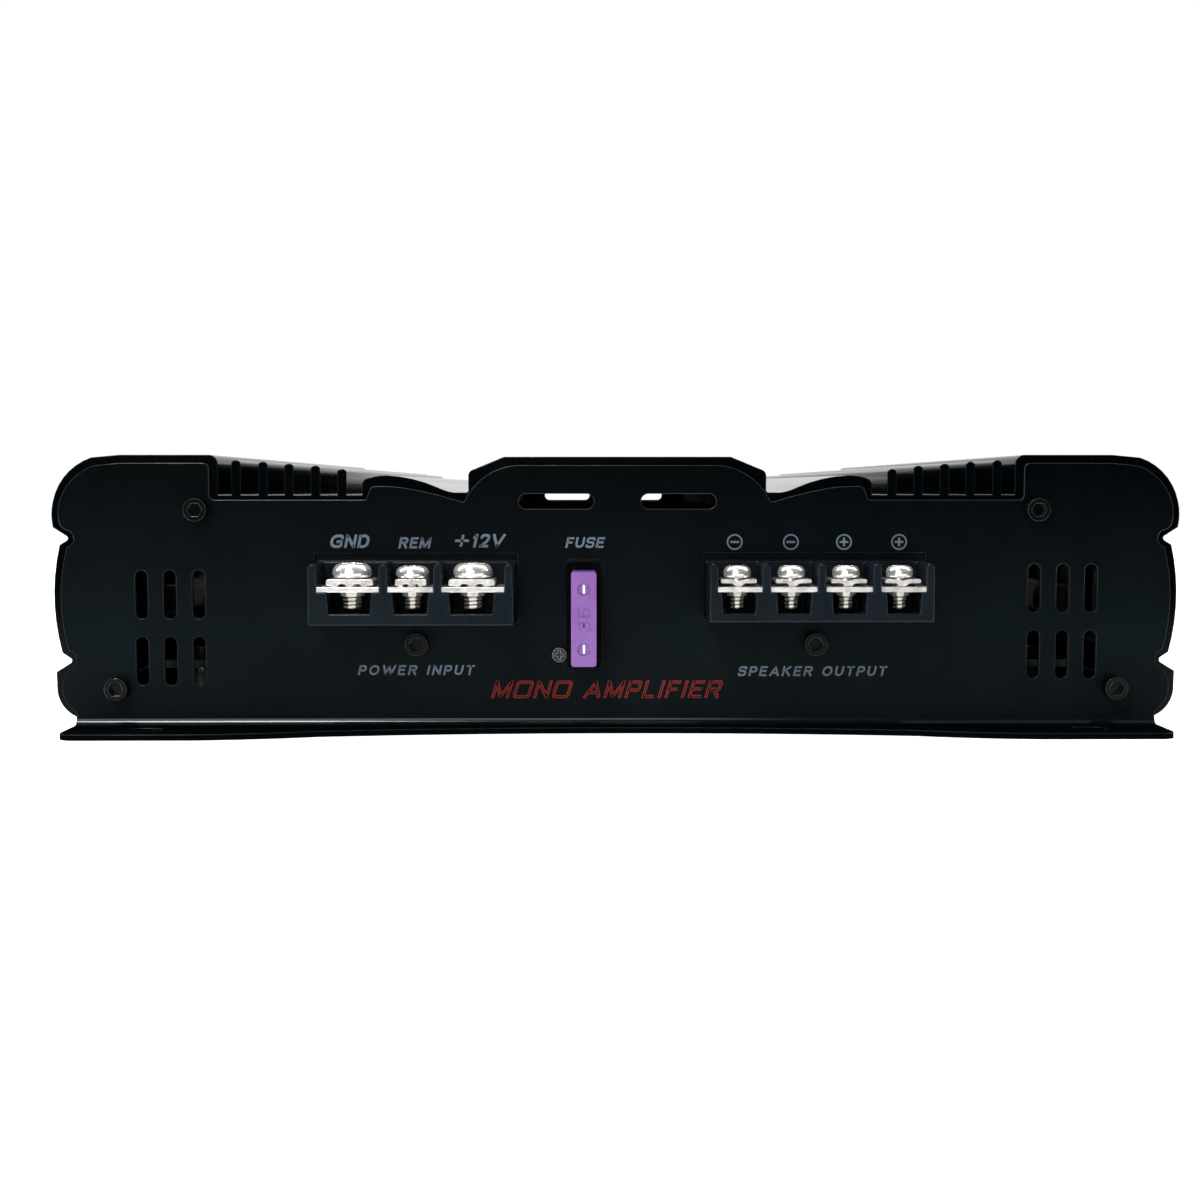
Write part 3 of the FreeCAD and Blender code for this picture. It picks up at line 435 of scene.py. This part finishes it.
# Each letter is its width over its height and its strokes, in a box one wide and one high.
# s: straight with square ends, b: straight with plain ends, r: rounded corners with plain
# ends, u: rounded corners with square ends, o: a closed loop with rounded corners.
LETTERS = {
    "A": (0.95, ["s 0,0 .5,1", "s .5,1 1,0", "b .2,.28 .8,.28"]),
    "B": (0.80, ["s 0,0 0,1", "r 0,1 .93,1 .93,.53 0,.53", "r 0,.53 1,.53 1,0 0,0"]),
    "C": (0.92, ["r 1,.68 1,1 0,1 0,0 1,0 1,.32"]),
    "D": (0.85, ["s 0,0 0,1", "r 0,1 1,1 1,0 0,0"]),
    "E": (0.74, ["s 0,0 0,1", "b 0,1 1.12,1", "b 0,.52 1,.52", "b 0,0 1.14,0"]),
    "F": (0.70, ["s 0,0 0,1", "b 0,1 1.14,1", "b 0,.5 .95,.5"]),
    "G": (0.98, ["r 1,.70 1,1 0,1 0,0 1,0 1,.44", "b 1.1,.46 .5,.46"]),
    "H": (0.82, ["s 0,0 0,1", "s 1,0 1,1", "b 0,.5 1,.5"]),
    "I": (0.22, ["s .5,0 .5,1"]),
    "K": (0.86, ["s 0,0 0,1", "b 0,.35 1,1.1", "b .3,.6 1.05,-.1"]),
    "L": (0.70, ["s 0,0 0,1", "b 0,0 1.14,0"]),
    "M": (1.00, ["s 0,0 0,1", "s 1,0 1,1", "b 0,1.06 .5,0", "b .5,0 1,1.06"]),
    "N": (0.84, ["s 0,0 0,1", "s 1,0 1,1", "b 0,1.05 1,-.05"]),
    "O": (0.98, ["o 0,0 0,1 1,1 1,0"]),
    "P": (0.76, ["s 0,0 0,1", "r 0,1 1,1 1,.44 0,.44"]),
    "R": (0.84, ["s 0,0 0,1", "r 0,1 .95,1 .95,.5 0,.5", "b .5,.5 1.02,-.12"]),
    "S": (0.80, ["r 1,.73 1,1 0,1 0,.52 1,.52 1,0 0,0 0,.27"]),
    "T": (0.80, ["b -.12,1 1.12,1", "s .5,0 .5,1"]),
    "U": (0.82, ["u 0,1 0,0 1,0 1,1"]),
    "V": (0.92, ["s 0,1 .5,0", "s .5,0 1,1"]),
    "W": (1.30, ["s 0,1 .26,0", "s .26,0 .5,1", "s .5,1 .74,0", "s .74,0 1,1"]),
    "1": (0.42, ["s .8,0 .8,1", "b .8,1 0,.7"]),
    "2": (0.70, ["r 0,.70 0,1 1,1 1,.56 .1,0", "b -.14,0 1.14,0"]),
    "3": (0.70, ["r 0,.75 0,1 .95,1 .95,.53 .35,.53", "r .35,.53 1,.53 1,0 0,0 0,.25"]),
    "5": (0.70, ["b 1.08,1 .06,1", "s .1,1 .03,.5", "r .03,.52 1,.66 1,0 0,0 0,.25"]),
    "+": (1.10, ["b -.06,.5 1.06,.5", "b .5,-.04 .5,1.04"]),
}


def rounded(points, closed, share, steps=6):
    """A path with its corners replaced by curves that take up a share of each side. Wide
    curves are drawn in a little, so that a bowl comes out round."""
    pull = 0.14 if share > 0.4 else 0.0
    count = len(points)
    path = []
    for i, here in enumerate(points):
        if not closed and i in (0, count - 1):
            path.append(here)
            continue
        before, after = points[i - 1] - here, points[(i + 1) % count] - here
        reach = min(before.length, after.length) * share
        start, end = here + before.normalized() * reach, here + after.normalized() * reach
        bend = here * (1 - pull) + (start + end) / 2 * pull
        for k in range(steps + 1):
            f = k / steps
            path.append(start * (1 - f) ** 2 + bend * 2 * f * (1 - f) + end * f ** 2)
    return path


def ribbon(path, closed, half, points, faces, place):
    """Add a flat strip along a path to a mesh's points and faces."""
    count = len(path)
    first = len(points)
    for i, here in enumerate(path):
        before = path[i - 1] if closed or i else None
        after = path[(i + 1) % count] if closed or i < count - 1 else None
        turns = [d.normalized() for d in (here - before if before else None,
                                          after - here if after else None)
                 if d is not None and d.length > 1e-9]
        along = sum(turns, Vector((0, 0))).normalized()
        side = Vector((-along.y, along.x))
        side *= half / max(0.5, math.sqrt((1 + turns[0].dot(turns[-1])) / 2))
        points.append(place(here + side))
        points.append(place(here - side))
    for i in range(count if closed else count - 1):
        a, b = first + i * 2, first + (i + 1) % count * 2
        faces.append((a, a + 1, b + 1, b))


def text_mesh(name, words, left, right, base, cap, weight, slant, gap, square, to_world,
              room=None):
    """Words in the strokes of LETTERS, from left to right on a base line. Strokes are laid
    out for a weight of room, so that a thinner line can run inside a thicker one. Every other
    letter lies a little higher, so that touching letters never share a plane."""
    room = room or weight
    widths = [0.42 if c == " " else LETTERS[c][0] for c in words]
    total = sum(widths) + gap * (len(words) - 1) + slant
    stretch = (right - left) / (total * cap)
    points, faces = [], []
    pen = 0.0
    for order, (letter, width) in enumerate(zip(words, widths)):
        strokes = [] if letter == " " else LETTERS[letter][1]
        for stroke in strokes:
            kind, *pairs = stroke.split()
            corner = [Vector(tuple(float(c) for c in pair.split(","))) for pair in pairs]
            corner = [Vector((room / 2 + v.x * max(width - room, 0.02),
                              room / 2 + v.y * (1 - room))) for v in corner]
            closed = kind == "o"
            path = rounded(corner, closed, square) if kind in "ruo" else corner
            if kind in "su":
                path[0] = path[0] + (path[0] - path[1]).normalized() * weight / 2
                path[-1] = path[-1] + (path[-1] - path[-2]).normalized() * weight / 2

            def place(v, pen=pen, order=order):
                x = (pen + v.x + slant * v.y) * stretch
                return to_world(left + x * cap, base + v.y * cap, 0.002 * (order % 2))

            ribbon(path, closed, weight / 2, points, faces, place)
        pen += width + gap
    return built(name, points, faces)


def on_front(x, z, up):
    return (x, FACE - 0.02 - up, z)


def on_rear(x, z, up):
    return (-x, -FACE + 0.02 + up, z)


def label(name, words, left, right, base, cap, ink="print_grey", weight=0.19, slant=0.22,
          gap=0.17, square=0.5, to_world=on_front, room=None):
    mesh = text_mesh(name, words, left, right, base, cap, weight, slant, gap, square,
                     to_world, room)
    piece(name, mesh, ink, "case", "panel_black")


def ring_sign(name, x, z, plus, radius=1.47, reach=0.88, sides=40):
    """A circled plus or minus."""
    points, faces = [], []
    angles = [math.tau * i / sides for i in range(sides)]
    circle = [Vector((x + radius * math.cos(a), z + radius * math.sin(a))) for a in angles]
    bars = [[Vector((x - reach, z)), Vector((x + reach, z))]]
    if plus:
        bars.append([Vector((x, z - reach)), Vector((x, z + reach))])
    ribbon(circle, True, 0.15, points, faces, lambda v: on_front(v.x, v.y, 0))
    for k, bar in enumerate(bars):
        ribbon(bar, False, 0.21, points, faces, lambda v, k=k: on_front(v.x, v.y, 0.003 * k))
    piece(name, built(name, points, faces), "print_grey", "case", "panel_black")


label("label_ground", "GND", -58.9, -50.4, 37.5, 2.75, weight=0.205)
label("label_remote", "REM", -44.8, -37.9, 37.4, 2.3, weight=0.20)
label("label_battery", "+12V", -33.6, -22.8, 37.6, 2.75, weight=0.19)
label("label_fuse", "FUSE", -10.7, -2.4, 37.5, 2.2, weight=0.195)
label("label_power_input", "POWER INPUT", -53.3, -29.2, 11.4, 2.05, gap=0.30)
label("label_speaker_output", "SPEAKER OUTPUT", 24.7, 55.7, 11.1, 2.05, gap=0.28)
for name, ink, weight, lift in (("label_type", "print_red", 0.17, 0.0),
                                ("label_type_inside", "panel_black", 0.055, 0.012)):
    label(name, "MONO AMPLIFIER", -26.0, 22.0, 6.6, 3.6, ink, weight, 0.3, 0.2, 0.16,
          lambda x, z, up, lift=lift: on_front(x, z, up + lift), 0.17)
for number, (x, plus) in enumerate(((24.0, False), (35.5, False), (46.4, True), (57.7, True))):
    ring_sign("sign_%d" % number, x, 38.7, plus)

# Rear labels, over and under the jacks and knobs.
REAR_LABELS = [
    ("input", "INPUT", -61.0, -51.0, 40.4, 2.0), ("output", "OUTPUT", -62.0, -50.0, 12.2, 2.0),
    ("right", "R", -57.0, -55.2, 33.2, 1.8), ("left", "L", -76.5, -75.0, 33.2, 1.8),
    ("level", "LEVEL", -26.4, -17.6, 31.4, 1.9), ("low_pass", "LOW PASS", -11.8, 1.8, 31.4, 1.9),
    ("subsonic", "SUBSONIC", 4.9, 19.1, 31.4, 1.9), ("bass", "BASS BOOST", 21.0, 37.0, 31.4, 1.9),
    ("phase", "PHASE", 41.6, 50.4, 18.6, 1.9), ("remote", "REMOTE", 60.6, 71.4, 29.0, 1.9),
    ("power_led", "ON", 47.4, 50.8, 38.6, 1.7), ("protect_led", "PROTECT", 34.8, 45.2, 38.6, 1.7),
]
for key, words, left, right, base, cap in REAR_LABELS:
    label("rear_" + key, words, left, right, base, cap, to_world=on_rear)


# ------------------------------------------------------------------ knob marks and scales
def middle(node):
    """The middle of a node's box and its two corners, all in mm."""
    low, high = ([c / MM for c in corner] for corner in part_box(node))
    return [(a + b) / 2 for a, b in zip(low, high)], low, high


KNOB_TURN = 140        # degrees to each side
MARK_DEPTH = 1.15      # how far under the knob's face the painted floor of its mark lies
for knob in ("level_knob", "low_pass_knob", "subsonic_knob", "bass_boost_knob"):
    (x, _, z), low, high = middle(knob)
    y = high[1] - MARK_DEPTH
    mesh = built(knob + "_mark", [(x - 0.42, y, z + 0.65), (x + 0.42, y, z + 0.65),
                                  (x + 0.42, y, z + 3.1), (x - 0.42, y, z + 3.1)],
                 [(0, 3, 2, 1)])
    piece(knob + "_mark", mesh, "white_plastic", knob)
    points, faces = [], []
    for step in range(11):
        angle = math.radians(KNOB_TURN * (step / 5 - 1))
        out = Vector((math.sin(angle), math.cos(angle)))
        length = 1.3 if step in (0, 5, 10) else 0.8
        ribbon([Vector((-x, z)) + out * 4.5, Vector((-x, z)) + out * (4.5 + length)], False,
               0.13, points, faces, lambda v: on_rear(v.x, v.y, 0))
    piece(knob + "_scale", built(knob + "_scale", points, faces), "print_grey", "case",
          "panel_black")


# ------------------------------------------------------------------ screw threads and digits
def thread(name, body, x, y, low, high, radius, pitch=0.75, depth=0.42):
    """A screw thread: a tube whose radius follows a helix."""
    around, per_turn = 32, 8
    rows = int((high - low) / pitch * per_turn) + 1
    points, faces = [], []
    for j in range(rows + 1):
        z = low + (high - low) * j / rows
        for i in range(around):
            turn = i / around
            wave = abs(((z / pitch - turn) % 1.0) * 2 - 1)
            r = radius - depth * wave
            points.append((x + r * math.cos(math.tau * turn), y + r * math.sin(math.tau * turn), z))
    for j in range(rows):
        for i in range(around):
            k = (i + 1) % around
            faces.append((j * around + i, j * around + k, (j + 1) * around + k,
                          (j + 1) * around + i))
    # Painted shade: the thread takes the darker shank nickel.
    piece(name, built(name, points, faces), "shaded_shank_nickel", body, "nickel")


COLLAR_Z = 28.1        # just under the collars of the contact plates
SHANKS = {"power": (1.9, 1.6, 1.9), "speaker": (1.4,) * 4}
for family, radii in SHANKS.items():
    for number, radius in enumerate(radii, start=1):
        node = "%s_screw_%d" % (family, number)
        (x, y, _), low, _ = middle(node)
        thread(node + "_thread", node, x, y, low[2] + 0.25, COLLAR_Z, radius + 0.2)

# The rating reads upwards on the fuse's face.
(FUSE_X, _, FUSE_Z), (_, FUSE_FRONT, _), _ = middle("fuse_body")


def on_fuse(x, z, up):
    return (FUSE_X - z, FUSE_FRONT - up - 0.015, FUSE_Z + x)


mesh = text_mesh("fuse_rating", "35", -2.35, 2.25, -1.35, 2.5, 0.12, 0.0, 0.24, 0.5, on_fuse)
piece("fuse_rating", mesh, "fuse_mark", "fuse", "fuse_purple")


# ------------------------------------------------------------------ surroundings
def surroundings():
    """A plain pale floor that glows a little, so that the ground stays white."""
    bm = bmesh.new()
    bmesh.ops.create_grid(bm, x_segments=1, y_segments=1, size=1.0)
    for v in bm.verts:
        v.co = Vector((v.co.x * 1.5, 0.55 + v.co.y * 0.95, 0))
    mesh = bpy.data.meshes.new("floor")
    bm.to_mesh(mesh)
    bm.free()
    floor = bpy.data.objects.new("floor", mesh)
    scene.collection.objects.link(floor)
    t = Tree("floor_white")
    t.link(t.ramp(t.noise(3.0), 0.80, 0.84), t.bsdf.inputs["Base Color"])
    t.bsdf.inputs["Roughness"].default_value = 0.9
    t.bsdf.inputs["Specular IOR Level"].default_value = 0.0
    t.bsdf.inputs["Emission Color"].default_value = (1, 1, 1, 1)
    t.bsdf.inputs["Emission Strength"].default_value = 0.5
    mesh.materials.append(t.mat)


def light(name, place, target, size, power):
    data = bpy.data.lights.new(name, "AREA")
    data.shape = "RECTANGLE"
    data.size, data.size_y = size
    data.energy = power
    obj = bpy.data.objects.new(name, data)
    scene.collection.objects.link(obj)
    obj.location = place
    obj.rotation_euler = (Vector(target) - Vector(place)).to_track_quat("-Z", "Y").to_euler()


def sky():
    world = bpy.data.worlds.new("studio")
    scene.world = world
    world.use_nodes = True
    nt = world.node_tree
    back = nt.nodes["Background"]
    coord = nt.nodes.new("ShaderNodeTexCoord")
    split = nt.nodes.new("ShaderNodeSeparateXYZ")
    nt.links.new(coord.outputs["Generated"], split.inputs[0])
    spread = nt.nodes.new("ShaderNodeMapRange")
    spread.inputs["From Min"].default_value = -0.6
    spread.inputs["From Max"].default_value = 0.4
    spread.inputs["To Min"].default_value = 0.05
    spread.inputs["To Max"].default_value = 1.0
    nt.links.new(split.outputs["Y"], spread.inputs["Value"])
    path = nt.nodes.new("ShaderNodeLightPath")
    pick = nt.nodes.new("ShaderNodeMix")
    pick.data_type = "FLOAT"
    nt.links.new(path.outputs["Is Camera Ray"], pick.inputs[0])
    nt.links.new(spread.outputs["Result"], pick.inputs[2])
    pick.inputs[3].default_value = 1.02
    nt.links.new(pick.outputs[0], back.inputs["Strength"])
    back.inputs["Color"].default_value = (0.985, 0.99, 1.0, 1)


surroundings()
sky()
light("key", (-0.27, -0.62, 0.72), (-0.02, -0.12, 0.03), (0.26, 0.30), 6.4)
light("front", (-0.24, -0.98, 0.33), (0.0, -0.12, 0.03), (0.72, 0.50), 2.6)
light("rim", (0.0, 0.12, 0.80), (0.0, 0.0, 0.03), (1.5, 0.22), 12.0)
light("left_strip", (-0.75, -0.02, 0.28), (-0.1, -0.02, 0.04), (0.10, 0.45), 2.0)
light("right_strip", (0.75, -0.02, 0.28), (0.1, -0.02, 0.04), (0.10, 0.45), 1.2)
scene.view_settings.view_transform = "Standard"
